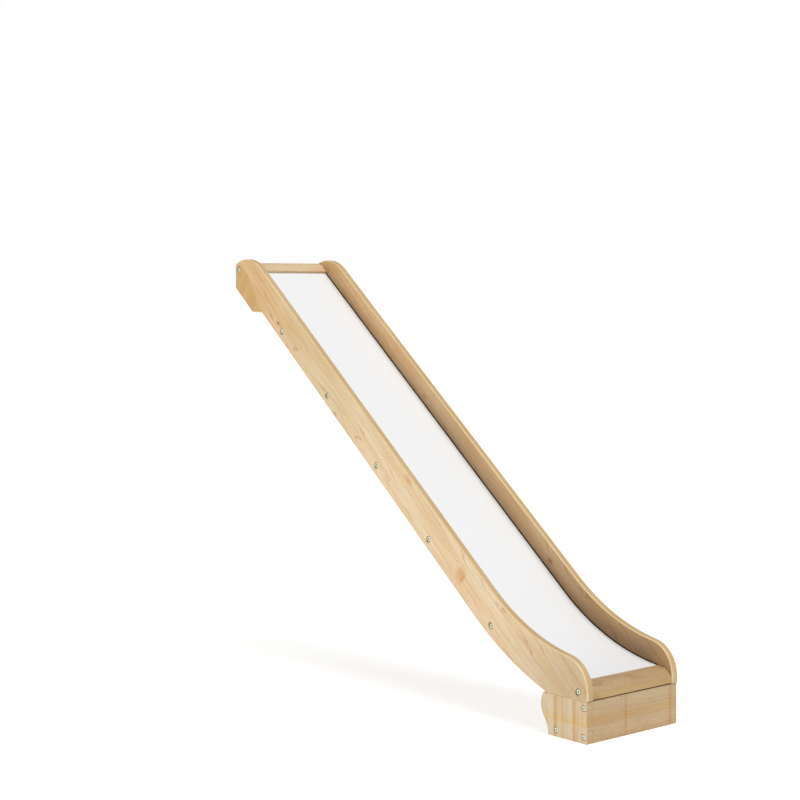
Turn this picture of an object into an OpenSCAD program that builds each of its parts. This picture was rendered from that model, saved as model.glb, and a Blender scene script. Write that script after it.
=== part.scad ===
// Straight wooden slide for a loft or bunk bed: two sawn side rails, a bent
// laminate-faced sliding panel on battens, an entry bar that bolts to the bed's
// side rail, a rounded exit nosing and a low foot box.
//
// Frame: +Z up, floor at z = 0, the bed at +Y and the exit at -Y.
// Every outline is drawn in a side view (v, z): v runs level from the plane of
// the bed's side rail (v = 0) towards the exit, z is the height above the floor.

/* [Overall] */
// Width over the two side rails
slide_w = 367; // [300:1:520]
// Height of the sliding surface where it meets the entry bar
entry_z = 1287; // [1000:1:1600]
// Slope of the straight part, in degrees
slope = 39.5; // [34:0.5:44]
// Radius of the run-out bend, on the sliding surface
bend_r = 710; // [500:5:900]
// Slope left at the end of the bend, in degrees
exit_slope = 7; // [3:0.5:12]
// Height of the sliding surface at the exit nosing above the foot box
exit_rise = 45; // [40:1:80]

/* [Side rails] */
// Thickness of a side rail
rail_t = 22; // [18:0.5:30]
// Height of the side rail above the sliding surface, square to it
rail_above = 65; // [45:1:100]
// Depth of the side rail below the sliding surface, square to it
rail_below = 46; // [38:1:70]
// Extra radius of the underside along the bend, over the sliding surface's
under_bend_extra = 275; // [200:5:500]
// Radius of the rounded top end
top_round_r = 125; // [90:1:160]
// Height of the top end above the sliding surface at the entry bar
top_rise = 45; // [38:0.5:60]
// Radius of the rounded bottom end
front_round_r = 93; // [60:1:110]
// Extra depth of the heel at the bed, square to the slope
heel_d = 33; // [20:1:50]
// Height of the level cut that ends the heel
heel_cut_below = 135; // [110:1:180]

/* [Sliding panel] */
// Thickness of the bent plywood core
core_t = 8; // [6:0.5:12]
// Thickness of the white laminate
laminate_t = 1; // [0.6:0.1:2]
// Depth of the groove in each side rail for the panel's edge
groove_d = 7; // [4:0.5:10]
// Gap between the panel's edge and the bottom of its groove
panel_gap = 0.5; // [0.2:0.1:2]
// Height of the groove's opening above the sliding surface
groove_rise = 3; // [1.5:0.1:4]
// Gap between the laminate's edge and each side rail
laminate_gap = 2.5; // [0:0.1:4]

/* [Cross members] */
// Thickness of a batten
batten_t = 18; // [16:0.5:24]
// Width of a batten along the slope
batten_w = 60; // [40:1:90]
// Distance from the entry bar to the first batten, along the slope
batten_first = 285; // [200:1:330]
// Distance from the last batten on the straight part to the start of the bend
batten_last = 286; // [120:1:330]
// Arc length from the start of the bend to the last batten
bend_batten_s = 62; // [40:1:120]
// Distance from the bed's side rail to the entry bar's front, at the panel
entry_d = 60.7; // [55:0.1:80]
// Height that the entry bar stands above the panel
entry_step = 8; // [4:0.5:12]
// Radius of the rounded top of the entry bar
entry_r = 75; // [60:1:100]
// Height of the top of the entry bar above the panel's upper end
entry_top = 34.5; // [30:0.5:40]
// Width of the ledge that carries each end of the panel
ledge_w = 20; // [14:1:30]
// Depth of the exit nosing in front of the panel
nosing_d = 55; // [50:1:70]
// Radius of the exit nosing
nosing_r = 38; // [30:1:38]
// Set-back of the nosing from the front of the side rails
nosing_inset = 2; // [0:0.5:6]
// Height of the nosing's underside above the foot box
nosing_lift = 3; // [0:0.5:8]
// Distance from the panel's end to the nosing's bolt, along the run
nosing_bolt_v = 19; // [10:1:24]
// Height of the nosing's bolt above its underside
nosing_bolt_z = 20; // [12:1:24]
// Distance from the panel's upper end to the entry bar's bolt, up the slope
entry_bolt_s = 38; // [30:1:44]
// Distance between the entry bar's bolt and its dowel
entry_dowel_off = 24; // [18:1:30]

/* [Foot box] */
// Height of the foot box
foot_h = 115; // [100:1:140]
// Set-back of the foot box from the front of the side rails
foot_setback = 4; // [0:0.5:12]
// Depth of the foot box at its bottom
foot_d = 147.5; // [130:0.5:200]
// Thickness of the foot boards
foot_t = 22; // [18:0.5:30]
// Open joint between the front board and the nosing
shadow_gap = 3.5; // [1:0.5:6]
// Height of the rear cross rail
foot_rail_h = 37; // [30:1:60]
// Distance from the bottom rear corner to the middle of the rear cross rail
foot_rail_in = 31.5; // [25:0.5:50]
// Radius of the bulge on the rear edge
bulge_r = 57; // [45:1:60]
// Depth of the bulge's centre below the top of the foot box
bulge_below = 33; // [20:1:45]
// Radius of the hollow under the bulge
hollow_r = 78; // [60:1:100]

/* [Hardware] */
// Diameter of a connector bolt
bolt_d = 6; // [5:0.5:8]
// Length of a connector bolt under the head
bolt_l = 60; // [50:1:80]
// Depth of a bolt's hole past its tip
bolt_spare = 2; // [1:0.5:5]
// Diameter of a bolt head
head_d = 14.5; // [12:0.5:18]
// Height of a bolt head
head_h = 2.4; // [1.8:0.1:4]
// Diameter of the recess for a bolt head
recess_d = 17; // [14:0.5:22]
// Depth of the recess for a bolt head
recess_h = 3; // [2:0.1:5]
// Hex socket across flats
hex_af = 4; // [3:0.5:6]
// Depth of the hex socket
hex_depth = 1.9; // [1.2:0.1:3]
// Diameter of a barrel nut
nut_d = 10; // [8:0.5:12]
// Length of a barrel nut
nut_l = 13; // [10:0.5:15]
// Distance from the end of a cross member to the middle of its barrel nut
nut_in = 30; // [24:1:34]
// Diameter of a wooden dowel
dowel_d = 8; // [6:1:10]
// Length of a wooden dowel
dowel_l = 30; // [24:1:40]
// Sideways distance from a batten's bolt to its dowel
dowel_off = 19; // [15:1:24]
// Diameter of a panel screw's shank
screw_d = 3.5; // [3:0.1:4.5]
// Diameter of a panel screw's head
screw_head_d = 7; // [6:0.1:9]
// Height of a screw's head
screw_head_h = 1.8; // [1.4:0.1:3]
// Depth that a panel screw bites into the plywood core
screw_bite = 6; // [4:0.5:8]
// Distance between the two panel screws of a cross member
screw_span = 200; // [120:5:240]
// Outer diameter of the threaded inserts for the bed bolts
insert_d = 12; // [10:0.5:14]
// Length of the threaded inserts
insert_l = 22; // [15:1:30]
// Depth of the bed bolt's hole past the end of its insert
insert_runout = 14; // [5:1:20]
// Bore of the threaded inserts, for M8 bolts
insert_bore = 6.8; // [5:0.1:8.5]
// Distance between the two bed bolts
insert_span = 220; // [160:5:260]
// Height of the bed bolts below the top of the entry bar
insert_below = 34; // [28:0.5:40]
// Distance from the ends of a foot side to its upright dowels
foot_dowel_in = 45; // [38:1:50]
// Distance from the back of a foot side to its joining plate
plate_in = 60; // [50:1:62]
// Length of a steel joining plate in the foot
plate_l = 70; // [50:1:100]
// Width of a joining plate
plate_w = 22; // [16:1:30]
// Thickness of a joining plate
plate_t = 2; // [1.5:0.1:3]
// Clearance round bolts, nuts and dowels, on the radius
fit_gap = 0.1; // [0.05:0.05:0.3]

/* [Hidden] */
$fn = 96;
// Angle covered by one facet of an outline's round stretch
arc_step = 2;

inner_w = slide_w - 2 * rail_t;
panel_w = inner_w + 2 * (groove_d - panel_gap);
laminate_w = inner_w - 2 * laminate_gap;
panel_t = core_t + laminate_t;

// Unit vectors of the side view: down the slope, and square out of the surface
down = [cos(slope), -sin(slope)];
out = [sin(slope), cos(slope)];

// Sliding surface: entry point, start of the bend, bend centre, exit point
exit_z = foot_h + exit_rise;
entry_pt = [entry_d, entry_z];
straight_l = (entry_z - exit_z - bend_r * (cos(exit_slope) - cos(slope))) / sin(slope);
bend_pt = entry_pt + straight_l * down;
bend_c = bend_pt + bend_r * out;
exit_pt = bend_c - bend_r * [sin(exit_slope), cos(exit_slope)];
run = exit_pt[0] + nosing_d;

// Side rail: top edge along the bend, front round, underside
rail_top_r = bend_r - rail_above;
under_bend_r = bend_r + under_bend_extra;
front_c_v = run - front_round_r;
front_c = [
    front_c_v,
    bend_c[1] - sqrt(pow(rail_top_r + front_round_r, 2) - pow(bend_c[0] - front_c_v, 2))
];
front_a = 360 + atan2(front_c[1] - bend_c[1], front_c[0] - bend_c[0]);
under_pt = bend_pt - rail_below * out;
under_c = under_pt + under_bend_r * out;
under_end_a = 270 - acos((under_c[1] - foot_h) / under_bend_r);

// Side rail: rounded top end, tangent to the top edge, and the heel
top_line_z = entry_z + rail_above / cos(slope) + entry_d * tan(slope);
top_c_z = entry_z + top_rise - top_round_r;
top_c_v = (top_line_z - top_c_z - top_round_r / cos(slope)) / tan(slope);
top_c = [top_c_v, top_c_z];
top_end_a = acos(-top_c_v / top_round_r);
heel_line_z = entry_z - (rail_below + heel_d) / cos(slope) + entry_d * tan(slope);
under_line_z = entry_z - rail_below / cos(slope) + entry_d * tan(slope);
heel_z = entry_z - heel_cut_below;
heel_v = (heel_line_z - heel_z) / tan(slope);
heel_in_v = (under_line_z - heel_z) / tan(slope);

// Entry bar
bar_top_z = entry_z + entry_top;
bar_front = entry_pt + entry_step * out;
bar_c_z = bar_top_z - entry_r;
bar_front_a = asin((bar_front[1] - bar_c_z) / entry_r);
bar_c = [bar_front[0] - entry_r * cos(bar_front_a), bar_c_z];
bar_shoulder = entry_pt - panel_t * out;
bar_ledge = bar_shoulder + ledge_w * down;
bar_low = bar_ledge - batten_t * out;

// Exit nosing
exit_dir = [cos(exit_slope), -sin(exit_slope)];
exit_out = [sin(exit_slope), cos(exit_slope)];
nosing_z = foot_h + nosing_lift;
nosing_front = run - nosing_inset;
nosing_shoulder = exit_pt - panel_t * exit_out;
nosing_ledge = nosing_shoulder - ledge_w * exit_dir;
nosing_low = nosing_shoulder - batten_t * exit_out;
nosing_c_v = nosing_front - nosing_r;
nosing_c_z = exit_pt[1] - (nosing_c_v - exit_pt[0]) * tan(exit_slope) - nosing_r / cos(exit_slope);
nosing_c = [nosing_c_v, nosing_c_z];

// Foot box
foot_front = run - foot_setback;
foot_back = foot_front - foot_d;
hollow_c = [foot_back - hollow_r, 0];
bulge_z = foot_h - bulge_below;
bulge_c = [
    hollow_c[0] + sqrt(pow(bulge_r + hollow_r, 2) - pow(bulge_z, 2)),
    bulge_z
];
bulge_top_a = 180 - asin((foot_h - bulge_z) / bulge_r);
hollow_a = asin(bulge_z / (bulge_r + hollow_r));
front_board_z = nosing_z - shadow_gap;
foot_rail_v = foot_back + foot_rail_in;
front_board_v = foot_front - foot_t / 2;

// Places of the cross members on the slope: [middle of the batten's thickness, tilt]
bolt_depth = panel_t + batten_t / 2;
bend_batten_a = slope - bend_batten_s / bend_r * 180 / PI;
batten_pitch = (straight_l - batten_first - batten_last) / 3;
function slope_pt(s, depth) = entry_pt + s * down - depth * out;
function bend_pt_at(a, depth) = bend_c - (bend_r + depth) * [sin(a), cos(a)];
batten_places = [
    for (i = [0:3]) [slope_pt(batten_first + i * batten_pitch, bolt_depth), slope],
    [bend_pt_at(bend_batten_a, bolt_depth), bend_batten_a]
];

// Bolt axes through the side rails, top to bottom, and through the foot sides
nosing_bolt = [exit_pt[0] + nosing_bolt_v, nosing_z + nosing_bolt_z];
rail_bolt_pts = [
    slope_pt(-entry_bolt_s, bolt_depth),
    for (p = batten_places) p[0],
    nosing_bolt
];
foot_bolt_low_z = foot_rail_h / 2;
foot_bolt_pts = [
    [front_board_v, foot_h - foot_bolt_low_z],
    [front_board_v, foot_bolt_low_z],
    [foot_rail_v, foot_bolt_low_z]
];
// Turn of each barrel nut about the bolt axis, so that it stands square to its board
rail_nut_turns = [0, for (p = batten_places) p[1], 0];
foot_nut_turn = 90;
entry_dowel = rail_bolt_pts[0] - [0, entry_dowel_off];
nosing_dowel = nosing_bolt + [nosing_bolt_z - dowel_d / 2, -dowel_d];
foot_dowel_vs = [foot_back + foot_dowel_in, foot_front - foot_dowel_in];
plate_x = -inner_w / 2;
plate_v = foot_back + plate_in;
plate_screw_zs = [for (k = [-3, -1, 1, 3]) foot_h + k * plate_l / 8];
insert_z = bar_top_z - insert_below;

wood = "#dcc193";
steel = "#c9c9c2";

// Draws a side-view outline as a board whose low-X face is at x0
module board(x0, thickness) {
    translate([x0, run / 2, 0])
        mirror([0, 1, 0])
            rotate([90, 0, 90])
                linear_extrude(thickness)
                    children();
}

// Places its children at a side-view point, with local X along the row's X and
// local Y square out of a surface that slopes by turn degrees
module at(x, pt, turn = 0) {
    translate([x, run / 2 - pt[0], pt[1]])
        rotate([turn, 0, 0])
            children();
}

// A round bar along X from x0 to x1 through a side-view point
module cross_bar(x0, x1, pt, d) {
    at(x0, pt)
        rotate([0, 90, 0])
            cylinder(d = d, h = x1 - x0);
}

// Copies its children to both sides of the slide
module both_sides() {
    for (side = [0, 1])
        mirror([side, 0, 0])
            children();
}

// Points along a round stretch from angle a0 to a1, one for about every 2 degrees
function arc(c, r, a0, a1) =
    let (n = ceil(abs(a1 - a0) / arc_step))
    [for (i = [0:n]) c + r * [cos(a0 + (a1 - a0) * i / n), sin(a0 + (a1 - a0) * i / n)]];

module side_rail_outline() {
    polygon([
        [0, heel_line_z],
        [heel_v, heel_z],
        [heel_in_v, heel_z],
        each arc(under_c, under_bend_r, 270 - slope, under_end_a),
        [run, foot_h],
        each arc(front_c, front_round_r, 0, front_a - 180),
        each arc(bend_c, rail_top_r, front_a, 270 - slope),
        each arc(top_c, top_round_r, 90 - slope, top_end_a)
    ]);
}

// Bolt holes through a side board, each with a round recess for the head
module side_bolt_holes(pts) {
    for (pt = pts) {
        cross_bar(-slide_w / 2 - 1, -inner_w / 2 + 1, pt, bolt_d + 2 * fit_gap);
        cross_bar(-slide_w / 2 - 1, -slide_w / 2 + recess_h, pt, recess_d);
    }
}

// Side rail on the low-X side, with the panel's groove, bolt holes and dowel holes
module side_rail_blank() {
    difference() {
        board(-slide_w / 2, rail_t)
            side_rail_outline();
        board(-inner_w / 2 - groove_d, groove_d + 1)
            layer_outline(-groove_rise, panel_t + fit_gap);
        side_bolt_holes(rail_bolt_pts);
        rail_dowel_holes();
        foot_dowel_holes();
    }
}

module side_rail_left() {
    color(wood)
        side_rail_blank();
}

module side_rail_right() {
    color(wood)
        mirror([1, 0, 0])
            side_rail_blank();
}

// Outline of a layer between two depths below the sliding surface
module layer_outline(high, low) {
    polygon([
        entry_pt - high * out,
        each arc(bend_c, bend_r + high, 270 - slope, 270 - exit_slope),
        each arc(bend_c, bend_r + low, 270 - exit_slope, 270 - slope),
        entry_pt - low * out
    ]);
}

module panel_laminate() {
    color("#f4f4f2")
        board(-laminate_w / 2, laminate_w)
            layer_outline(0, laminate_t);
}

module panel_core() {
    color("#d9c39a")
        difference() {
            board(-panel_w / 2, panel_w)
                layer_outline(laminate_t, panel_t);
            screws_in_panel();
        }
}

module entry_bar() {
    color(wood)
        difference() {
            board(-inner_w / 2, inner_w)
                polygon([
                    [0, bar_low[1]],
                    bar_low,
                    bar_ledge,
                    bar_shoulder,
                    each arc(bar_c, entry_r, bar_front_a, 90),
                    [0, bar_top_z]
                ]);
            both_sides() {
                bolt_and_nut_holes(rail_bolt_pts[0], rail_nut_turns[0], rail_bolt_pts[0][1] - bar_low[1]);
                translate([insert_span / 2, run / 2, insert_z])
                    rotate([90, 0, 0]) {
                        cylinder(d = insert_d, h = insert_l);
                        cylinder(d = insert_bore, h = insert_l + insert_runout);
                    }
            }
            rail_dowel_holes();
            screws_in_panel();
        }
}

module exit_nosing() {
    color(wood)
        difference() {
            board(-inner_w / 2, inner_w)
                polygon([
                    nosing_shoulder,
                    exit_pt,
                    each arc(nosing_c, nosing_r, 90 - exit_slope, 0),
                    [nosing_front, nosing_z],
                    [nosing_low[0], nosing_z],
                    nosing_low,
                    nosing_ledge - batten_t * exit_out,
                    nosing_ledge
                ]);
            both_sides()
                bolt_and_nut_holes(nosing_bolt, rail_nut_turns[6], nosing_bolt[1] - nosing_z);
            rail_dowel_holes();
            screws_in_panel();
        }
}

// Cross batten under the panel, drilled for its bolts, nuts, dowels and screws
module batten(i) {
    color("#d6ba88")
        difference() {
            at(-inner_w / 2, batten_places[i][0], batten_places[i][1])
                translate([0, -batten_w / 2, -batten_t / 2])
                    cube([inner_w, batten_w, batten_t]);
            both_sides()
                bolt_and_nut_holes(batten_places[i][0], batten_places[i][1], batten_t / 2);
            rail_dowel_holes();
            screws_in_panel();
        }
}

module foot_side_outline() {
    polygon([
        [foot_front, 0],
        [foot_front, foot_h],
        each arc(bulge_c, bulge_r, bulge_top_a, 180 + hollow_a),
        each arc(hollow_c, hollow_r, hollow_a, 0)
    ]);
}

module foot_side_blank() {
    difference() {
        board(-slide_w / 2, rail_t)
            foot_side_outline();
        side_bolt_holes(foot_bolt_pts);
        foot_dowel_holes();
    }
}

module foot_side_left() {
    color(wood)
        foot_side_blank();
}

module foot_side_right() {
    color(wood)
        mirror([1, 0, 0])
            foot_side_blank();
}

module foot_front_board() {
    color(wood)
        difference() {
            translate([-inner_w / 2, run / 2 - foot_front, 0])
                cube([inner_w, foot_t, front_board_z]);
            both_sides()
                for (i = [0, 1])
                    bolt_and_nut_holes(foot_bolt_pts[i], foot_nut_turn, foot_t / 2);
        }
}

module foot_rear_rail() {
    color(wood)
        difference() {
            translate([-inner_w / 2, run / 2 - foot_rail_v - foot_t / 2, 0])
                cube([inner_w, foot_t, foot_rail_h]);
            both_sides()
                bolt_and_nut_holes(foot_bolt_pts[2], foot_nut_turn, foot_t / 2);
        }
}

// Holes in the end of a cross member for a bolt from the low-X side and its nut,
// where drill is the depth of wood between the bolt's axis and the drilled face
module bolt_and_nut_holes(pt, turn, drill) {
    cross_bar(-slide_w / 2, -slide_w / 2 + recess_h + bolt_l + bolt_spare, pt, bolt_d + 2 * fit_gap);
    at(-inner_w / 2 + nut_in, pt, turn)
        translate([0, 0, -drill - 1])
            cylinder(d = nut_d + 2 * fit_gap, h = drill + 1 + nut_l / 2 + fit_gap);
}

// Flat-headed connector bolt with a hex socket, entering from the low-X side
module connector_bolt(pt) {
    x_seat = -slide_w / 2 + recess_h;
    difference() {
        union() {
            cross_bar(x_seat - head_h, x_seat, pt, head_d);
            cross_bar(x_seat, x_seat + bolt_l, pt, bolt_d);
        }
        at(x_seat - head_h - 1, pt)
            rotate([0, 90, 0])
                cylinder(d = hex_af / cos(30), h = hex_depth + 1, $fn = 6);
    }
}

// Barrel nut, cross-drilled for its bolt
module barrel_nut(pt, turn) {
    difference() {
        at(-inner_w / 2 + nut_in, pt, turn)
            translate([0, 0, -nut_l / 2])
                cylinder(d = nut_d, h = nut_l);
        cross_bar(-inner_w / 2, 0, pt, bolt_d + 2 * fit_gap);
    }
}

module rail_bolts_left() {
    color(steel)
        for (pt = rail_bolt_pts)
            connector_bolt(pt);
}

module rail_bolts_right() {
    color(steel)
        mirror([1, 0, 0])
            for (pt = rail_bolt_pts)
                connector_bolt(pt);
}

module rail_barrel_nuts() {
    color(steel)
        both_sides()
            for (i = [0:len(rail_bolt_pts) - 1])
                barrel_nut(rail_bolt_pts[i], rail_nut_turns[i]);
}

module foot_bolts() {
    color(steel)
        both_sides()
            for (pt = foot_bolt_pts)
                connector_bolt(pt);
}

module foot_barrel_nuts() {
    color(steel)
        both_sides()
            for (i = [0:len(foot_bolt_pts) - 1])
                barrel_nut(foot_bolt_pts[i], foot_nut_turn);
}

// One dowel beside each bolt keeps its cross member from turning
function beside(place) = place[0] + dowel_off * [cos(place[1]), -sin(place[1])];
rail_dowel_pts = [entry_dowel, for (p = batten_places) beside(p), nosing_dowel];

module rail_dowels(d, extra) {
    both_sides()
        for (pt = rail_dowel_pts)
            cross_bar(-inner_w / 2 - dowel_l / 3 - extra, -inner_w / 2 + dowel_l * 2 / 3 + extra, pt, d);
}

module rail_dowel_holes() {
    rail_dowels(dowel_d + 2 * fit_gap, 1);
}

module batten_dowels() {
    color("#c9a873")
        rail_dowels(dowel_d, 0);
}

// Upright dowels between the foot sides and the side rails
module foot_dowel_pins(d, extra) {
    both_sides()
        for (v = foot_dowel_vs)
            translate([-slide_w / 2 + rail_t / 2, run / 2 - v, foot_h - dowel_l / 2 - extra])
                cylinder(d = d, h = dowel_l + 2 * extra);
}

module foot_dowel_holes() {
    foot_dowel_pins(dowel_d + 2 * fit_gap, 1);
}

module foot_dowels() {
    color("#c9a873")
        foot_dowel_pins(dowel_d, 0);
}

// Places of the panel screws: [side-view point on the panel's underside, tilt]
screw_places = [
    [entry_pt - panel_t * out + ledge_w / 2 * down, slope],
    for (p = batten_places) [p[0] + batten_t / 2 * [sin(p[1]), cos(p[1])], p[1]],
    [nosing_shoulder - ledge_w / 2 * exit_dir, exit_slope]
];

// Shank and countersunk head of each panel screw, driven up from below
module panel_screw_pair(place) {
    at(0, place[0], place[1])
        for (x = [-screw_span / 2, screw_span / 2])
            translate([x, 0, -batten_t]) {
                cylinder(d = screw_d, h = batten_t + screw_bite);
                cylinder(d1 = screw_head_d, d2 = screw_d, h = screw_head_h);
            }
}

module screws_in_panel() {
    for (place = screw_places)
        panel_screw_pair(place);
}

module panel_screws() {
    color("#b9b7a6")
        screws_in_panel();
}

module bed_bolt_inserts() {
    color("#c2a55a")
        both_sides()
            translate([insert_span / 2, run / 2, insert_z])
                rotate([90, 0, 0])
                    difference() {
                        cylinder(d = insert_d, h = insert_l);
                        translate([0, 0, -1])
                            cylinder(d = insert_bore, h = insert_l + 2);
                    }
}

// Flat steel plates inside the foot that tie its sides to the side rails
module joining_plates() {
    color(steel)
        both_sides()
            difference() {
                translate([plate_x, run / 2 - plate_v - plate_w / 2, foot_h - plate_l / 2])
                    cube([plate_t, plate_w, plate_l]);
                plate_screw_bars(screw_d + 2 * fit_gap);
            }
}

module plate_screw_bars(d) {
    for (z = plate_screw_zs)
        cross_bar(plate_x - rail_t / 2, plate_x + plate_t, [plate_v, z], d);
}

module plate_screws() {
    color(steel)
        both_sides() {
            plate_screw_bars(screw_d);
            for (z = plate_screw_zs)
                cross_bar(plate_x + plate_t, plate_x + plate_t + screw_head_h, [plate_v, z], screw_head_d);
        }
}

side_rail_left();
side_rail_right();
panel_core();
panel_laminate();
entry_bar();
exit_nosing();
batten(0);  // batten_1
batten(1);  // batten_2
batten(2);  // batten_3
batten(3);  // batten_4
batten(4);  // batten_5
foot_side_left();
foot_side_right();
foot_front_board();
foot_rear_rail();
rail_bolts_left();
rail_bolts_right();
rail_barrel_nuts();
batten_dowels();
panel_screws();
bed_bolt_inserts();
foot_bolts();
foot_barrel_nuts();
foot_dowels();
joining_plates();
plate_screws();
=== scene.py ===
import math

import bpy
from mathutils import Matrix, Vector


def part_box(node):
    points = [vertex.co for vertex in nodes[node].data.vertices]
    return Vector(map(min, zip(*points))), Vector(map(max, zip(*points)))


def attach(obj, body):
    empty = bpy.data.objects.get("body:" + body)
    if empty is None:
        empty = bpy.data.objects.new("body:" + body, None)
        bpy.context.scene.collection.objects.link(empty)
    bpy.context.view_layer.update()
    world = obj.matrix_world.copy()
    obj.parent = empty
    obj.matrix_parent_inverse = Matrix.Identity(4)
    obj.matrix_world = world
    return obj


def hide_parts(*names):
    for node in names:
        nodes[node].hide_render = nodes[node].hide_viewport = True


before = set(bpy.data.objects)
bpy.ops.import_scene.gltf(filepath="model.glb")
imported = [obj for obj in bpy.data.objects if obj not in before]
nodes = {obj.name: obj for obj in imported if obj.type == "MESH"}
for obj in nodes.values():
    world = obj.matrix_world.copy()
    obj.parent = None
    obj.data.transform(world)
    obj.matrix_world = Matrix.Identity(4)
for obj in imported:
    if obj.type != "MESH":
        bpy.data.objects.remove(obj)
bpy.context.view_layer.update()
print("frame loaded:", len(nodes), "nodes")

mm = 0.001
shortestEdge = 1.2 * mm    # shorter edges belong to holes and aren't rounded
sideSlope = math.radians(39.5)  # slope of the straight part


def clearSelection():
    if bpy.context.mode != "OBJECT":
        bpy.ops.object.mode_set(mode="OBJECT")
    bpy.ops.object.select_all(action="DESELECT")


def pickOnly(piece):
    clearSelection()
    piece.select_set(True)
    bpy.context.view_layer.objects.active = piece


def mergedCopy(nodeName, pieceName):
    # the node's own mesh stays as it is; the copy is merged and its flat faces joined
    piece = bpy.data.objects.new(pieceName, nodes[nodeName].data.copy())
    piece.data.name = pieceName
    bpy.context.scene.collection.objects.link(piece)
    pickOnly(piece)
    bpy.ops.object.mode_set(mode="EDIT")
    bpy.ops.mesh.select_all(action="SELECT")
    bpy.ops.mesh.remove_doubles(threshold=0.00001)
    bpy.ops.mesh.dissolve_limited(angle_limit=math.radians(0.3))
    bpy.ops.object.mode_set(mode="OBJECT")
    bpy.ops.mesh.customdata_custom_splitnormals_clear()
    return piece


def roundSharpEdges(piece, width, segments, wanted, clamp=True):
    # picks the sharp edges, keeps those that wanted() says, and rounds them
    pickOnly(piece)
    bpy.ops.object.mode_set(mode="EDIT")
    bpy.ops.mesh.select_mode(type="EDGE")
    bpy.ops.mesh.select_all(action="DESELECT")
    bpy.ops.mesh.edges_select_sharp(sharpness=math.radians(25))
    bpy.ops.object.mode_set(mode="OBJECT")
    mesh = piece.data
    for edge in mesh.edges:
        if edge.select:
            a, b = (mesh.vertices[i].co for i in edge.vertices)
            edge.select = wanted((a + b) / 2, (a - b).length)
    for vertex in mesh.vertices:
        vertex.select = False
    for face in mesh.polygons:
        face.select = False
    for edge in mesh.edges:
        if edge.select:
            for i in edge.vertices:
                mesh.vertices[i].select = True
    bpy.ops.object.mode_set(mode="EDIT")
    bpy.ops.mesh.bevel(offset=width, segments=segments, profile=0.5, affect="EDGES", clamp_overlap=clamp)
    bpy.ops.object.mode_set(mode="OBJECT")


def smoothAndSettle(piece, angle=35):
    pickOnly(piece)
    bpy.ops.object.shade_smooth_by_angle(angle=math.radians(angle))
    bpy.ops.object.modifier_add(type="WEIGHTED_NORMAL")
    piece.modifiers[-1].keep_sharp = True
    bpy.ops.object.modifier_apply(modifier=piece.modifiers[-1].name)


def standFor(piece, slotName, *nodeNames):
    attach(piece, "root")
    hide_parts(*nodeNames)


def dress(piece, material):
    # sets the material on the object's own slots, so the mesh is left alone
    if not piece.material_slots:
        piece.data.materials.append(material)
    for slot in piece.material_slots:
        slot.link = "OBJECT"
        slot.material = material


def addNode(tree, kind, place, **settings):
    node = tree.nodes.new(kind)
    node.location = place
    for name, value in settings.items():
        setattr(node, name, value)
    return node


def feed(tree, socket, value):
    if isinstance(value, bpy.types.NodeSocket):
        tree.links.new(value, socket)
    elif value is not None:
        socket.default_value = value


def calc(tree, operation, a, b=None, c=None, clamp=False):
    node = addNode(tree, "ShaderNodeMath", (0, 0), operation=operation, use_clamp=clamp)
    for socket, value in zip(node.inputs, (a, b, c)):
        feed(tree, socket, value)
    return node.outputs[0]


def step(tree, value, low, high):
    # 0 below low, 1 above high, smooth between them
    node = addNode(tree, "ShaderNodeMapRange", (0, 0), interpolation_type="SMOOTHSTEP")
    feed(tree, node.inputs["Value"], value)
    node.inputs["From Min"].default_value = low
    node.inputs["From Max"].default_value = high
    return node.outputs[0]


def blend(tree, factor, a, b, mode="MIX"):
    node = addNode(tree, "ShaderNodeMix", (0, 0), data_type="RGBA", blend_type=mode)
    feed(tree, node.inputs[0], factor)
    feed(tree, node.inputs[6], a)
    feed(tree, node.inputs[7], b)
    return node.outputs[2]


def noise(tree, vector, scale, detail=2.0, rough=0.5, distortion=0.0):
    node = addNode(tree, "ShaderNodeTexNoise", (0, 0))
    feed(tree, node.inputs["Vector"], vector)
    node.inputs["Scale"].default_value = scale
    node.inputs["Detail"].default_value = detail
    node.inputs["Roughness"].default_value = rough
    node.inputs["Distortion"].default_value = distortion
    return node.outputs[0]


def stretch(tree, vector, sizes, offset=(0, 0, 0)):
    node = addNode(tree, "ShaderNodeMapping", (0, 0))
    feed(tree, node.inputs["Vector"], vector)
    node.inputs["Scale"].default_value = sizes
    node.inputs["Location"].default_value = offset
    return node.outputs[0]


def colour(hexText):
    parts = [int(hexText[i:i + 2], 16) / 255 for i in (0, 2, 4)]
    return tuple(p / 12.92 if p <= 0.04045 else ((p + 0.055) / 1.055) ** 2.4 for p in parts) + (1.0,)


def newGroup(name, inputs, outputs):
    group = bpy.data.node_groups.new(name, "ShaderNodeTree")
    for label, kind, value in inputs:
        socket = group.interface.new_socket(name=label, in_out="INPUT", socket_type=kind)
        if value is not None:
            socket.default_value = value
    for label, kind in outputs:
        group.interface.new_socket(name=label, in_out="OUTPUT", socket_type=kind)
    return group, group.nodes.new("NodeGroupInput"), group.nodes.new("NodeGroupOutput")


# how finely each part of a board's figure varies, per metre along the grain, across the face and
# through the thickness, which are X, Y and Z of the figure's vector
figureScale = {
    "sway": (3.5, 9, 9), "drift": (1.6, 1, 1), "wobble": (28, 60, 60), "uneven": (0.9, 26, 6),
    "broken": (4, 30, 30), "fibre": (12, 650, 650), "cloud": (2.5, 18, 18), "fleck": (55, 330, 330),
}


def figureNoise(group, vector, part, offset=(0, 0, 0), detail=1.0, rough=0.5, distortion=0.0):
    return noise(group, stretch(group, vector, figureScale[part], offset), 1.0, detail, rough, distortion)


def ringEdge(group, phase, sharpness, closing):
    # rises slowly over one ring and stops short at its end
    return calc(group, "MULTIPLY", calc(group, "POWER", phase, sharpness),
                calc(group, "SUBTRACT", 1.0, step(group, phase, *closing)))


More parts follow.
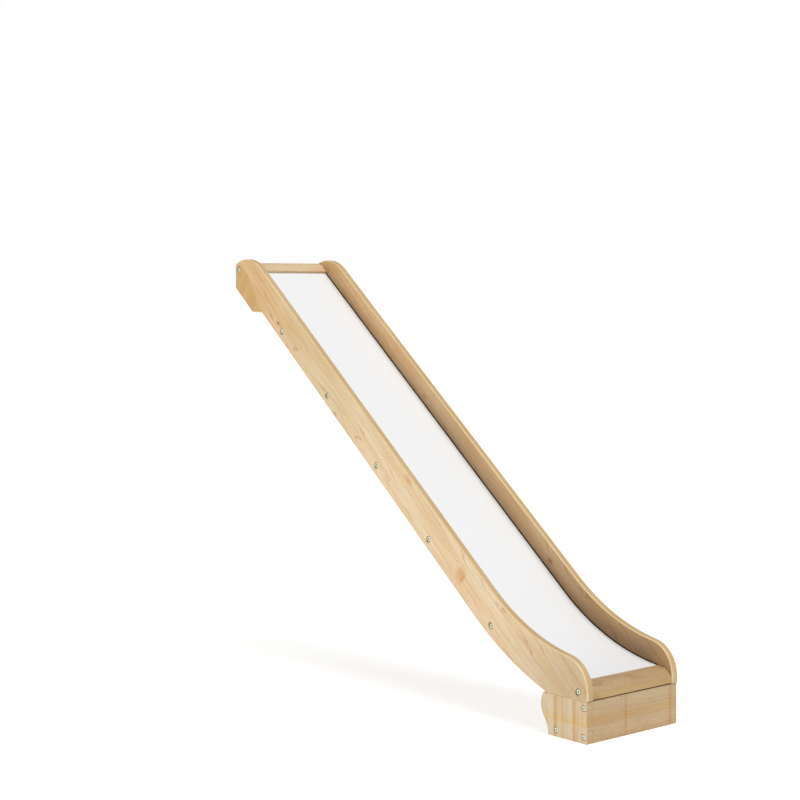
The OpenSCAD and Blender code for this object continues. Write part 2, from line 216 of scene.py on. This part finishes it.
def makeBoardFigure():
    group, given, made = newGroup(
        "boardFigure",
        [("Vector", "NodeSocketVector", None), ("Ring Spacing", "NodeSocketFloat", 0.008),
         ("Heart Across", "NodeSocketFloat", 0.0), ("Heart Depth", "NodeSocketFloat", 0.05),
         ("Tilt", "NodeSocketFloat", 0.0), ("Waviness", "NodeSocketFloat", 0.012),
         ("Drift", "NodeSocketFloat", 0.05), ("Sharpness", "NodeSocketFloat", 10.0)],
        [("Rings", "NodeSocketFloat"), ("Fibre", "NodeSocketFloat"),
         ("Cloud", "NodeSocketFloat"), ("Fleck", "NodeSocketFloat")])
    vector = given.outputs["Vector"]
    parts = addNode(group, "ShaderNodeSeparateXYZ", (0, 0))
    group.links.new(vector, parts.inputs[0])
    along, across, through = parts.outputs
    slow = figureNoise(group, vector, "sway", detail=1.5, rough=0.4)
    slower = figureNoise(group, vector, "drift", (4, 1, 2), detail=0.0, rough=0.4)
    wobble = figureNoise(group, vector, "wobble", (2, 6, 3))
    sway = calc(group, "MULTIPLY", calc(group, "SUBTRACT", slow, 0.5), given.outputs["Waviness"])
    lift = calc(group, "MULTIPLY", calc(group, "SUBTRACT", slower, 0.5), given.outputs["Drift"])
    z = calc(group, "ADD", calc(group, "ADD", through, given.outputs["Heart Depth"]), lift)
    y = calc(group, "ADD", calc(group, "MULTIPLY_ADD", along, given.outputs["Tilt"], across),
             given.outputs["Heart Across"])
    squares = calc(group, "ADD", calc(group, "MULTIPLY", y, y), calc(group, "MULTIPLY", z, z))
    radius = calc(group, "SQRT", squares)
    radius = calc(group, "ADD", radius, sway)
    uneven = figureNoise(group, vector, "uneven", (3, 8, 2))
    turns = calc(group, "DIVIDE", radius, given.outputs["Ring Spacing"])
    turns = calc(group, "ADD", turns, calc(group, "MULTIPLY", uneven, 2.4))
    turns = calc(group, "ADD", turns, calc(group, "MULTIPLY", wobble, 0.4))
    late = ringEdge(group, calc(group, "FRACT", turns), given.outputs["Sharpness"], (0.95, 1.0))
    finePhase = calc(group, "FRACT", calc(group, "MULTIPLY", turns, 3.7))
    fine = ringEdge(group, finePhase, 5.0, (0.9, 1.0))
    broken = step(group, figureNoise(group, vector, "broken", (1, 5, 9)), 0.36, 0.62)
    late = calc(group, "MULTIPLY", late, calc(group, "MULTIPLY_ADD", broken, 1.35, 0.25))
    late = calc(group, "MULTIPLY_ADD", fine, 0.28, late)
    group.links.new(late, made.inputs["Rings"])
    fibre = figureNoise(group, vector, "fibre", detail=2.0, rough=0.6)
    group.links.new(fibre, made.inputs["Fibre"])
    cloud = figureNoise(group, vector, "cloud", (7, 3, 1), detail=3.0, rough=0.55)
    group.links.new(cloud, made.inputs["Cloud"])
    flecks = figureNoise(group, vector, "fleck", (2, 2, 2), detail=0.0, distortion=0.6)
    group.links.new(step(group, flecks, 0.58, 0.78), made.inputs["Fleck"])
    return group


boardFigure = makeBoardFigure()


def turnFor(along, across):
    # rotation that puts X along the grain and Y across the face
    x = Vector(along).normalized()
    y = Vector(across).normalized()
    return Matrix((x, y, x.cross(y))).transposed().to_euler("XYZ")


fibreStrength = 0.16       # how much the fibres darken a board


def boardColour(tree, vector, board):
    # lays the figure on a vector that is already in the board's own axes
    figure = addNode(tree, "ShaderNodeGroup", (-900, 0), node_tree=boardFigure)
    tree.links.new(vector, figure.inputs["Vector"])
    for label, key in (("Ring Spacing", "ringSpacing"), ("Heart Across", "heartAcross"),
                       ("Heart Depth", "heartDepth"), ("Tilt", "tilt"), ("Waviness", "waviness"),
                       ("Drift", "drift"), ("Sharpness", "sharpness")):
        figure.inputs[label].default_value = board[key]
    rings, fibre, cloud, fleck = figure.outputs
    tone = blend(tree, step(tree, cloud, 0.3, 0.7), colour(board["pale"]), colour(board["warm"]))
    ringShare = calc(tree, "MULTIPLY", rings, board["ringStrength"], clamp=True)
    tone = blend(tree, ringShare, tone, colour(board["late"]))
    fibreShare = calc(tree, "MULTIPLY", step(tree, fibre, 0.35, 0.75), fibreStrength)
    tone = blend(tree, fibreShare, tone, colour(board["late"]))
    tone = blend(tree, calc(tree, "MULTIPLY", fleck, board["fleck"]), tone, colour(board["deep"]))
    return tone, fibre


def paintBands(tree, tone, vector, bands):
    # each band is (axis, low, high, fade at low, fade at high, tint, strength)
    parts = addNode(tree, "ShaderNodeSeparateXYZ", (0, 0))
    feed(tree, parts.inputs[0], vector)
    for axis, low, high, fadeLow, fadeHigh, tint, strength in bands:
        place = parts.outputs["XYZ".index(axis)]
        mask = calc(tree, "MULTIPLY", step(tree, place, low, low + fadeLow),
                    calc(tree, "SUBTRACT", 1.0, step(tree, place, high - fadeHigh, high)))
        tone = blend(tree, calc(tree, "MULTIPLY", mask, strength), tone, colour(tint), "MULTIPLY")
    return tone


markDepth = 10 * mm        # a mark fades out this far below the face


def paintMarks(tree, tone, vector, marks):
    # each mark is (along, across, half length, half width, tint, strength), on the board's face
    for along, across, halfLength, halfWidth, tint, strength in marks:
        place = addNode(tree, "ShaderNodeMapping", (0, 0), vector_type="TEXTURE")
        feed(tree, place.inputs["Vector"], vector)
        place.inputs["Location"].default_value = (along, across, 0)
        place.inputs["Scale"].default_value = (halfLength, halfWidth, markDepth)
        reach = addNode(tree, "ShaderNodeVectorMath", (0, 0), operation="LENGTH")
        tree.links.new(place.outputs[0], reach.inputs[0])
        mask = calc(tree, "SUBTRACT", 1.0, step(tree, reach.outputs["Value"], 0.2, 1.0))
        tone = blend(tree, calc(tree, "MULTIPLY", mask, strength), tone, colour(tint), "MULTIPLY")
    return tone


def boardVector(tree, board):
    place = addNode(tree, "ShaderNodeTexCoord", (-1400, 0))
    turn = addNode(tree, "ShaderNodeMapping", (-1200, 0), vector_type="TEXTURE")
    tree.links.new(place.outputs["Object"], turn.inputs["Vector"])
    turn.inputs["Location"].default_value = board["centre"]
    turn.inputs["Rotation"].default_value = turnFor(board["along"], board["across"])
    return turn.outputs[0]


def finishWood(tree, tone, fibre, board):
    shader = tree.nodes["Principled BSDF"]
    tree.links.new(tone, shader.inputs["Base Color"])
    rough = calc(tree, "ADD", board["roughness"], calc(tree, "MULTIPLY", fibre, 0.12))
    tree.links.new(rough, shader.inputs["Roughness"])
    bump = addNode(tree, "ShaderNodeBump", (-300, -300))
    bump.inputs["Strength"].default_value = 0.12
    bump.inputs["Distance"].default_value = 0.0004
    tree.links.new(fibre, bump.inputs["Height"])
    tree.links.new(bump.outputs[0], shader.inputs["Normal"])
    shader.inputs["Coat Weight"].default_value = board["lacquer"]
    shader.inputs["Coat Roughness"].default_value = 0.35
    shader.inputs["IOR"].default_value = 1.45


def newMaterial(name):
    material = bpy.data.materials.new(name)
    material.use_nodes = True
    return material, material.node_tree


def makeWood(name, board, bands=(), corner=(0, 0, 0)):
    material, tree = newMaterial(name)
    tone, fibre = boardColour(tree, boardVector(tree, board), board)
    if bands:
        place = addNode(tree, "ShaderNodeTexCoord", (-1400, -200))
        fromCorner = stretch(tree, place.outputs["Object"], (1, 1, 1), tuple(-c for c in corner))
        tone = paintBands(tree, tone, fromCorner, bands)
    finishWood(tree, tone, fibre, board)
    return material


downSlope = (0, -math.cos(sideSlope), -math.sin(sideSlope))
outOfSlope = (0, -math.sin(sideSlope), math.cos(sideSlope))
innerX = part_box("entry_bar")[1].x           # inner face of the side rails
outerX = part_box("side_rail_right")[1].x     # and outer face
sheetLow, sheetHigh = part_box("panel_laminate")
sheetThick = 1 * mm
bendRadius = 710 * mm
endSlope = math.radians(7)
outOfEnd = Vector((0, -math.sin(endSlope), math.cos(endSlope)))
sheetStart = Vector((0, sheetHigh.y - sheetThick * math.sin(sideSlope), sheetHigh.z))
sheetEnd = Vector((0, sheetLow.y, sheetLow.z + sheetThick * math.cos(endSlope)))
bendCentre = sheetEnd + bendRadius * outOfEnd
bendStart = bendCentre - bendRadius * Vector(outOfSlope)

sideRail = {
    "roundOver": 3.5 * mm,
    "roundSteps": 4,
    "heelCorner": (0, 678.6 * mm, 1155.6 * mm),  # where the heel's glue line meets the underside
    "heelLean": 57,            # the glue line's slope
    "heelTop": 1285 * mm,      # the heel stave fades out above this height
    "heelFade": 25 * mm,       # and is gone this much higher
    "board": {
        "along": downSlope, "across": outOfSlope,
        "ringSpacing": 0.019, "heartAcross": 0.25, "heartDepth": 0.05, "tilt": 0.07,
        "waviness": 0.06, "drift": 0.1, "sharpness": 9,
        "pale": "D7C4A4", "warm": "CFB287", "late": "B2845A", "deep": "916A45",
        "ringStrength": 0.7, "roughness": 0.4, "lacquer": 0.2, "fleck": 0.12,
    },
    "heel": {
        "along": (0, -0.55, 0.83), "across": (0, 0.83, 0.55),
        "ringSpacing": 0.016, "heartAcross": 0.3, "heartDepth": 0.05, "tilt": 0.0,
        "waviness": 0.03, "drift": 0.06, "sharpness": 6,
        "pale": "CDB481", "warm": "C5A66F", "late": "A58150", "deep": "8C6642",
        "ringStrength": 0.55, "roughness": 0.4, "lacquer": 0.2, "fleck": 0.12,
    },
    # what differs from the board on its flat edges, its rounded edges, which carry a painted highlight,
    # the panel's groove and the bolts' recesses, which carry painted shade
    "edge": {"centre": (0.3, 0.2, 0.1), "ringStrength": 0.12, "pale": "C8AC80", "warm": "C09F6D"},
    "roundHighlight": {"centre": (0.3, 0.2, 0.1), "ringStrength": 0.12, "pale": "D1BC92", "warm": "C8B185"},
    "grooveShade": {"centre": (0, 0, 0), "pale": "5E3D22", "warm": "54361E", "late": "432A15",
               "deep": "3A2412", "roughness": 0.7, "lacquer": 0.0},
    "recess": {"centre": (0, 0, 0), "ringStrength": 0.1, "pale": "604C2A", "warm": "574425",
               "late": "48371D"},
    # the board's tone changes a little along the slope, as paintBands takes it
    "bands": {
        "left": [("X", -0.3, 0.5, 0.01, 0.45, "F1E2CB", 1.0), ("X", 0.2, 0.9, 0.15, 0.25, "F3F1E5", 1.0),
                 ("X", 1.55, 2.4, 0.4, 0.01, "DFDCD5", 1.0)],
        "right": [("X", 0.45, 2.4, 0.4, 0.01, "EDF1FA", 1.0), ("X", 1.3, 2.4, 0.35, 0.01, "DDD3C4", 1.0)],
    },
    "boltShade": (0.0118, 0.0118, "7D6A48", 0.8),    # painted shade round each bolt: half sizes, tint, strength
    "innerShade": "EAD8BE",         # painted shade on the inner faces, a tint that makes them darker than the outer faces
    # knots and pin marks from the sliding surface's top end, as paintMarks takes them
    "marks": {
        "left": [
            (0.251, -0.012, 0.009, 0.006, "A8754F", 0.85), (0.262, -0.010, 0.03, 0.009, "E8BC8C", 0.6),
            (0.150, -0.042, 0.004, 0.003, "6E5348", 0.9), (0.668, -0.038, 0.014, 0.012, "E9B47E", 0.7),
            (1.060, 0.052, 0.035, 0.012, "EBC596", 0.7), (1.369, 0.024, 0.003, 0.003, "96795E", 0.8),
            (1.405, 0.005, 0.030, 0.034, "F0CDA2", 0.7), (1.418, 0.000, 0.006, 0.030, "E3AE7C", 0.6),
        ],
        "right": [
            (1.418, 0.026, 0.020, 0.011, "C98C66", 0.75), (1.418, 0.026, 0.006, 0.004, "B9785A", 0.6),
            (1.372, 0.025, 0.003, 0.003, "96795E", 0.8), (0.262, -0.010, 0.03, 0.009, "E8BC8C", 0.6),
            (0.668, 0.020, 0.016, 0.008, "E9B47E", 0.5),
        ],
    },
}


# the panel's groove in the rails: where it lies above the sliding surface, how far past the
# sheet's ends it reaches, how deep it is, and where the rail is clear of it
groove = {"low": -14 * mm, "high": 6 * mm, "past": 6 * mm, "deep": 7.2 * mm, "clear": 8 * mm}


def isRailOutline(middle):
    # true on the rail's outer outline, false on the edges of the panel's groove
    straight = (middle - sheetStart).dot(Vector(outOfSlope))
    fromBend = (Vector((0, middle.y, middle.z)) - bendCentre).length - bendRadius
    below = straight if (middle - bendStart).dot(Vector(downSlope)) < 0 else -fromBend
    pastSheet = middle.y > sheetStart.y + groove["past"] or middle.y < sheetEnd.y - groove["past"]
    return pastSheet or not groove["low"] < below < groove["high"]


def spot(point):
    # a place as whole steps of 0.02 mm, to find it again in a set
    return tuple(round(value / (0.02 * mm)) for value in point)


def throughEdges(board):
    # the middles of the edges beside faces that cross the rail's whole thickness, as no hole's do
    mesh = board.data
    found = set()
    for face in mesh.polygons:
        across = [mesh.vertices[i].co.x for i in face.vertices]
        if max(across) - min(across) > outerX - innerX - 0.1 * mm and abs(face.normal.x) < 0.1:
            for a, b in face.edge_keys:
                found.add(spot((mesh.vertices[a].co + mesh.vertices[b].co) / 2))
    return found


def makeRailWood(side, faceX, recesses):
    material, tree = newMaterial("railMaple_" + side)
    board = dict(sideRail["board"], centre=(faceX, sheetStart.y, sheetStart.z))
    heel = dict(sideRail["heel"], centre=(faceX, sheetStart.y, sheetStart.z - 0.1))
    vector = boardVector(tree, board)
    tone, fibre = boardColour(tree, vector, board)
    heelTone = boardColour(tree, boardVector(tree, heel), heel)[0]
    # Y of this vector is the distance in front of the heel's glue line
    lean = math.radians(sideRail["heelLean"])
    glueLine = {"centre": sideRail["heelCorner"], "along": (0, math.cos(lean), math.sin(lean)),
                "across": (0, -math.sin(lean), math.cos(lean))}
    fromLine = addNode(tree, "ShaderNodeSeparateXYZ", (-1000, 300))
    tree.links.new(boardVector(tree, glueLine), fromLine.inputs[0])
    height = addNode(tree, "ShaderNodeSeparateXYZ", (-1000, 500))
    place = addNode(tree, "ShaderNodeTexCoord", (-1400, 500))
    tree.links.new(place.outputs["Object"], height.inputs[0])
    pastLine = step(tree, fromLine.outputs[1], -2 * mm, 1 * mm)
    pastTop = step(tree, height.outputs[2], sideRail["heelTop"], sideRail["heelTop"] + sideRail["heelFade"])
    isHeel = calc(tree, "MULTIPLY", calc(tree, "SUBTRACT", 1.0, pastLine),
                  calc(tree, "SUBTRACT", 1.0, pastTop))
    tone = blend(tree, isHeel, tone, heelTone)
    tone = paintBands(tree, tone, vector, sideRail["bands"][side])
    # painted shade: the inner faces are multiplied by a darker tint
    fromMiddle = calc(tree, "ABSOLUTE", height.outputs[0])
    innerShadeMask = calc(tree, "SUBTRACT", 1.0, step(tree, fromMiddle, innerX + 0.5 * mm, innerX + 1.5 * mm))
    tone = blend(tree, innerShadeMask, tone, colour(sideRail["innerShade"]), "MULTIPLY")
    # painted shade: a soft dark ring round each bolt recess
    fromStart = [recess - Vector(board["centre"]) for recess in recesses]
    shades = [(reach.dot(Vector(downSlope)), reach.dot(Vector(outOfSlope)), *sideRail["boltShade"])
              for reach in fromStart]
    tone = paintMarks(tree, tone, vector, sideRail["marks"][side] + shades)
    finishWood(tree, tone, fibre, board)
    return material


def dressPart(piece, material, wanted):
    # one more material, on the faces that wanted() picks
    piece.data.materials.append(material)
    piece.material_slots[-1].link = "OBJECT"
    piece.material_slots[-1].material = material
    last = len(piece.material_slots) - 1
    for face in piece.data.polygons:
        if wanted(face):
            face.material_index = last


paintedGrooveShade = makeWood("paintedGrooveShade", dict(sideRail["board"], **sideRail["grooveShade"]))
edgeMaple = makeWood("edgeMaple", dict(sideRail["board"], **sideRail["edge"]))
roundEdgeHighlight = makeWood("roundEdgeHighlight", dict(sideRail["board"], **sideRail["roundHighlight"]))
boltShade = makeWood("boltShade", dict(sideRail["board"], **sideRail["recess"]))
recessDepth = 3 * mm


def isRecessFloor(face):
    return abs(face.normal.x) > 0.9 and abs(outerX - abs(face.center.x) - recessDepth) < 0.1 * mm


def isBoltRecess(face):
    # the recess's floor, or its wall, whose faces have their middle halfway down
    isWall = abs(face.normal.x) < 0.1 and 1 * mm < outerX - abs(face.center.x) < 2 * mm
    return isWall or isRecessFloor(face)


def isRoundEdge(face):
    return 0.2 < abs(face.normal.x) < 0.99 and isRailOutline(face.center)


def isFlatEdge(face):
    clearOfGroove = abs(face.center.x) > innerX + groove["clear"]
    return abs(face.normal.x) < 0.2 and (clearOfGroove or isRailOutline(face.center))


def isGroove(face):
    return 0.1 * mm < abs(face.center.x) - innerX < groove["deep"] and not isRailOutline(face.center)


for side in ("left", "right"):
    rail = mergedCopy("side_rail_" + side, "siderail_" + side)
    outline = throughEdges(rail)
    roundSharpEdges(rail, sideRail["roundOver"], sideRail["roundSteps"],
                    lambda middle, length: spot(middle) in outline, clamp=False)
    smoothAndSettle(rail)
    recesses = [face.center.copy() for face in rail.data.polygons if isRecessFloor(face)]
    dress(rail, makeRailWood(side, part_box("side_rail_" + side)[0].x, recesses))
    # painted highlight: the rounded edges get a lighter tone
    dressPart(rail, roundEdgeHighlight, isRoundEdge)
    dressPart(rail, edgeMaple, isFlatEdge)
    # painted shade: the groove's faces get a dark tone
    dressPart(rail, paintedGrooveShade, isGroove)
    # painted shade on the walls and floors of the bolts' recesses
    dressPart(rail, boltShade, isBoltRecess)
    standFor(rail, "maple", "side_rail_" + side)
print("side rails done")


crossWood = {
    "along": (1, 0, 0), "across": (0, 0, 1),
    "ringSpacing": 0.01, "heartAcross": 0.03, "heartDepth": 0.03, "tilt": 0.05,
    "waviness": 0.03, "drift": 0.04, "sharpness": 7,
    "pale": "C2AA83", "warm": "BA9A72", "late": "A0764F", "deep": "8C6642",
    "ringStrength": 0.7, "roughness": 0.4, "lacquer": 0.2, "fleck": 0.25,
}
# staves and joints of another tone, from the board's low corner, as paintBands takes them
crossBands = {
    "foot_front_board": [
        ("Z", 0.048, 0.087, 0.001, 0.030, "FFF6D4", 0.9),
        ("Z", 0.0465, 0.0485, 0.0005, 0.0005, "EBD0AC", 0.5),
        ("Z", -0.01, 0.028, 0.001, 0.026, "F6EDD2", 0.7),
        ("X", 0.122, 0.140, 0.012, 0.005, "F5D8B8", 0.6), ("X", 0.306, 0.323, 0.010, 0.002, "F3D0AC", 0.6),
    ],
    "exit_nosing": [
        ("Z", -0.01, 0.024, 0.001, 0.018, "FFF4CE", 0.7),
    ],
}
# each board's rounding in mm, and what differs from crossWood on it
crossBoards = {
    "entry_bar": (1.2, {"pale": "DFC79F", "warm": "D8B88D", "late": "BB8C60"}),
    "exit_nosing": (0.8, {"pale": "BCA37B", "warm": "B3936A"}),
    "foot_front_board": (1.0, {"ringStrength": 0.45}),
    "foot_rear_rail": (1.5, {}),
    "batten_1": (1.5, {}), "batten_2": (1.5, {}), "batten_3": (1.5, {}), "batten_4": (1.5, {}),
    "batten_5": (1.5, {}),
}
figureShift = 0.37         # metres from one board's figure to the next, so that no two are alike
crossMaple = {}
for index, (nodeName, (radius, differs)) in enumerate(crossBoards.items()):
    board = mergedCopy(nodeName, nodeName.replace("_", "") + "_wood")
    roundSharpEdges(board, radius * mm, 3, lambda middle, length: length > shortestEdge)
    smoothAndSettle(board)
    low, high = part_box(nodeName)
    look = dict(crossWood, centre=(figureShift * index, low.y, (low.z + high.z) / 2))
    look.update(differs)
    if nodeName == "foot_front_board":
        look["centre"] = (0.25, low.y, -0.02)
    crossMaple[nodeName] = makeWood(nodeName + "Maple", look, crossBands.get(nodeName, ()), low)
    dress(board, crossMaple[nodeName])
    standFor(board, "batten_wood" if nodeName.startswith("batten") else "maple", nodeName)
print("cross members done")


footSide = {
    "roundOver": 2.2 * mm,
    "topHighlight": {"centre": (0, 0, 0), "pale": "CFB071", "warm": "C9A866"},   # painted highlight along the rounded top
    "topDepth": 4 * mm,
    "board": dict(crossWood, along=(0, 0, 1), across=(0, 1, 0), ringSpacing=0.02, ringStrength=0.35,
                  pale="C6B495", warm="C0A883"),
    "bands": [
        ("Y", 0.034, 0.053, 0.013, 0.002, "F2D2A8", 0.8), ("Y", 0.106, 0.126, 0.013, 0.002, "F2D2A8", 0.8),
        ("Y", 0.086, 0.099, 0.006, 0.006, "F8E2C4", 0.6), ("Y", 0.010, 0.024, 0.006, 0.006, "F8E2C4", 0.6),
        ("Z", 0.045, 0.082, 0.001, 0.034, "FFF6D2", 0.9),
    ],
}
topHighlight = makeWood("footTopHighlight", dict(footSide["board"], **footSide["topHighlight"]))
for side in ("left", "right"):
    board = mergedCopy("foot_side_" + side, "footside_" + side)
    roundSharpEdges(board, footSide["roundOver"], 4, lambda middle, length: length > shortestEdge)
    smoothAndSettle(board)
    low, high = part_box("foot_side_" + side)
    dress(board, makeWood("footMaple_" + side, dict(footSide["board"], centre=(low.x, low.y, 0)),
                          footSide["bands"], low))
    # its front end carries on the front board's figure
    dressPart(board, crossMaple["foot_front_board"],
              lambda face: face.normal.y < -0.8 and face.center.y < low.y + 1 * mm)
    # painted highlight on the rounded top edge
    dressPart(board, topHighlight,
              lambda face: 0.2 < face.normal.z < 0.99 and face.center.z > high.z - footSide["topDepth"])
    # painted shade on the walls and floors of the bolts' recesses
    dressPart(board, boltShade, isBoltRecess)
    standFor(board, "maple", "foot_side_" + side)
print("foot done")


panel = {
    "edge": 0.35 * mm,
    "white": "F0F1F2", "shaded": "ECEDEE",
    "coreEdge": 0.5 * mm,
    "shortestCoreEdge": 4 * mm,
    "ply": dict(crossWood, along=downSlope, across=(1, 0, 0), centre=(0.4, 0, 0), ringSpacing=0.02,
                pale="E3CDA0", warm="D8BD8C", late="C6A070"),
}


def makeLaminate():
    material, tree = newMaterial("whiteLaminate")
    shader = tree.nodes["Principled BSDF"]
    place = addNode(tree, "ShaderNodeTexCoord", (-1000, 0))
    fine = noise(tree, stretch(tree, place.outputs["Object"], (1, 1, 1)), 900, 2.0, 0.6)
    wide = noise(tree, stretch(tree, place.outputs["Object"], (1, 1, 1), (3, 1, 2)), 6, 2.0, 0.5)
    tone = blend(tree, wide, colour(panel["white"]), colour(panel["shaded"]))
    tree.links.new(tone, shader.inputs["Base Color"])
    tree.links.new(calc(tree, "ADD", 0.3, calc(tree, "MULTIPLY", wide, 0.12)), shader.inputs["Roughness"])
    bump = addNode(tree, "ShaderNodeBump", (-300, -300))
    bump.inputs["Strength"].default_value = 0.05
    bump.inputs["Distance"].default_value = 0.0002
    tree.links.new(fine, bump.inputs["Height"])
    tree.links.new(bump.outputs[0], shader.inputs["Normal"])
    return material


sheet = mergedCopy("panel_laminate", "slidingsheet")
roundSharpEdges(sheet, panel["edge"], 2, lambda middle, length: True)
smoothAndSettle(sheet, 50)
dress(sheet, makeLaminate())
standFor(sheet, "laminate", "panel_laminate")

core = mergedCopy("panel_core", "panelcore")
roundSharpEdges(core, panel["coreEdge"], 2, lambda middle, length: length > panel["shortestCoreEdge"])
smoothAndSettle(core)
dress(core, makeWood("plywood", panel["ply"]))
# painted shade: the core's top and side edges take the groove's dark tone and show beside the sheet as a
# dark line
dressPart(core, paintedGrooveShade, lambda face: face.normal.z > 0.3 or abs(face.normal.x) > 0.5)
standFor(core, "plywood", "panel_core")
print("sliding panel done")


# each metal's colour, roughness and metallic
metals = {
    # the recess and rim colours are painted shade, in the hex sockets and round the heads' sides
    "nickel": ("D6D9C2", 0.5, 0.15), "recess": ("1E1A0C", 0.6, 0.0), "rimShade": ("676046", 0.5, 0.2),
    "zinc": ("B9B6A6", 0.38, 0.9), "brass": ("C7A659", 0.3, 1.0),
}
boltHead = {
    "roundOver": 0.9 * mm,
    "rimEdge": 1.3 * mm,                # the rim's edges are shorter than this
    "socketEdge": (2 * mm, 4 * mm),     # and the hex socket's are between these
    "beyond": 170 * mm,                 # heads lie farther out than this
    "rimDepth": 2.5 * mm,
    "socketDepth": 1.9 * mm,
    "socketReach": 3.6 * mm,            # from the socket's middle to its rounded edge
}


def makeMetal(name, hexText, roughness, metallic):
    material, tree = newMaterial(name)
    shader = tree.nodes["Principled BSDF"]
    place = addNode(tree, "ShaderNodeTexCoord", (-1000, 0))
    spots = noise(tree, place.outputs["Object"], 420, 3.0, 0.6)
    tone = blend(tree, calc(tree, "MULTIPLY", spots, 0.2), colour(hexText), colour("8F8C7E"))
    tree.links.new(tone, shader.inputs["Base Color"])
    rough = calc(tree, "ADD", roughness, calc(tree, "MULTIPLY", spots, 0.15))
    tree.links.new(rough, shader.inputs["Roughness"])
    shader.inputs["Metallic"].default_value = metallic
    return material


nickel, recess, rimShade, zinc, brass = (makeMetal(name, *values) for name, values in metals.items())
for nodeName in ("rail_bolts_left", "rail_bolts_right", "foot_bolts"):
    bolts = mergedCopy(nodeName, nodeName.replace("_", ""))
    low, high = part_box(nodeName)
    outer = max(abs(low.x), abs(high.x))

    def isHeadEdge(middle, length):
        # the rim's and the socket's edges on the heads' outer faces
        onFace = min(abs(middle.x - low.x), abs(middle.x - high.x)) < 0.1 * mm
        isRim = length < boltHead["rimEdge"]
        isSocket = boltHead["socketEdge"][0] < length < boltHead["socketEdge"][1]
        return onFace and abs(middle.x) > boltHead["beyond"] and (isRim or isSocket)

    def isSocketFace(face):
        inDepth = 0.1 * mm < outer - abs(face.center.x) < boltHead["socketDepth"] + 0.2 * mm
        return inDepth and any(math.hypot(face.center.y - middle.y, face.center.z - middle.z)
                               < boltHead["socketReach"] for middle in sockets)

    def isRimFace(face):
        return abs(face.normal.x) < 0.85 and abs(face.center.x) > outer - boltHead["rimDepth"]

    roundSharpEdges(bolts, boltHead["roundOver"], 3, isHeadEdge)
    smoothAndSettle(bolts)
    dress(bolts, nickel)
    sockets = [face.center.copy() for face in bolts.data.polygons if abs(face.normal.x) > 0.9
               and abs(outer - abs(face.center.x) - boltHead["socketDepth"]) < 0.2 * mm]
    # painted shade: the heads' side walls and rims get the dark rim colour, the hex sockets the near-black
    # recess colour
    dressPart(bolts, rimShade, isRimFace)
    dressPart(bolts, recess, isSocketFace)
    standFor(bolts, "bolt_steel", nodeName)
dowelWood = makeWood("dowelBeech", dict(crossWood, centre=(0, 0, 0), pale="D9B98A", warm="CBA472",
                                        late="A97F52", lacquer=0.0))
for nodeName, material in (("rail_barrel_nuts", nickel), ("foot_barrel_nuts", nickel),
                           ("panel_screws", zinc), ("plate_screws", zinc), ("joining_plates", zinc),
                           ("bed_bolt_inserts", brass), ("batten_dowels", dowelWood),
                           ("foot_dowels", dowelWood)):
    dress(nodes[nodeName], material)
print("hardware done")


studio = {
    "cameraPlace": (-3.5852, -4.0673, 1.2276),
    "cameraTurn": -40.22,
    "lens": 77.94,
    "shift": -0.1374,
    "sky": 0.31,
    "floorRadius": 400,
    "floorGlow": 0.78,
    "floor": "A0A0A0",
    "topLamp": {"from": (0.05, -0.36, 1.0), "strength": 2.35, "spread": 35},
    "sideLamp": {"from": (-1.0, -0.12, 0.04), "strength": 2.0, "spread": 9},
}


def makeFloor():
    clearSelection()
    bpy.ops.mesh.primitive_circle_add(vertices=96, radius=studio["floorRadius"], fill_type="NGON",
                                      location=(0, 0, 0))
    floor = bpy.context.object
    floor.name = "floor"
    material, tree = newMaterial("paleFloor")
    shader = tree.nodes["Principled BSDF"]
    shader.inputs["Base Color"].default_value = colour(studio["floor"])
    shader.inputs["Emission Color"].default_value = (1, 1, 1, 1)
    shader.inputs["Emission Strength"].default_value = studio["floorGlow"]
    shader.inputs["Roughness"].default_value = 0.9
    shader.inputs["Specular IOR Level"].default_value = 0.1
    dress(floor, material)


def makeSky():
    # gives soft light, and is plain white to the camera
    world = bpy.data.worlds.new("studioSky")
    bpy.context.scene.world = world
    world.use_nodes = True
    tree = world.node_tree
    light = tree.nodes["Background"]
    light.inputs["Color"].default_value = (1, 1, 1, 1)
    light.inputs["Strength"].default_value = studio["sky"]
    seen = addNode(tree, "ShaderNodeBackground", (0, -200))
    seen.inputs["Color"].default_value = (1, 1, 1, 1)
    seen.inputs["Strength"].default_value = 1.0
    ray = addNode(tree, "ShaderNodeLightPath", (-200, 300))
    mix = addNode(tree, "ShaderNodeMixShader", (200, 0))
    tree.links.new(ray.outputs["Is Camera Ray"], mix.inputs[0])
    tree.links.new(light.outputs[0], mix.inputs[1])
    tree.links.new(seen.outputs[0], mix.inputs[2])
    tree.links.new(mix.outputs[0], tree.nodes["World Output"].inputs["Surface"])


def addLamp(name, lamp):
    data = bpy.data.lights.new(name, "SUN")
    data.energy = lamp["strength"]
    data.angle = math.radians(lamp["spread"])
    made = bpy.data.objects.new(name, data)
    bpy.context.scene.collection.objects.link(made)
    made.location = Vector(lamp["from"]) * 4
    made.rotation_euler = (-Vector(lamp["from"])).to_track_quat("-Z", "Y").to_euler()


def makeCamera():
    data = bpy.data.cameras.new("camera")
    data.lens = studio["lens"]
    data.sensor_width = 36
    data.shift_y = studio["shift"]
    data.clip_end = 1000
    camera = bpy.data.objects.new("camera", data)
    bpy.context.scene.collection.objects.link(camera)
    camera.location = studio["cameraPlace"]
    camera.rotation_euler = (math.radians(90), 0, math.radians(studio["cameraTurn"]))
    bpy.context.scene.camera = camera


makeFloor()
makeSky()
addLamp("topLamp", studio["topLamp"])
addLamp("sideLamp", studio["sideLamp"])
makeCamera()
bpy.context.scene.view_settings.view_transform = "Standard"
print("studio done")
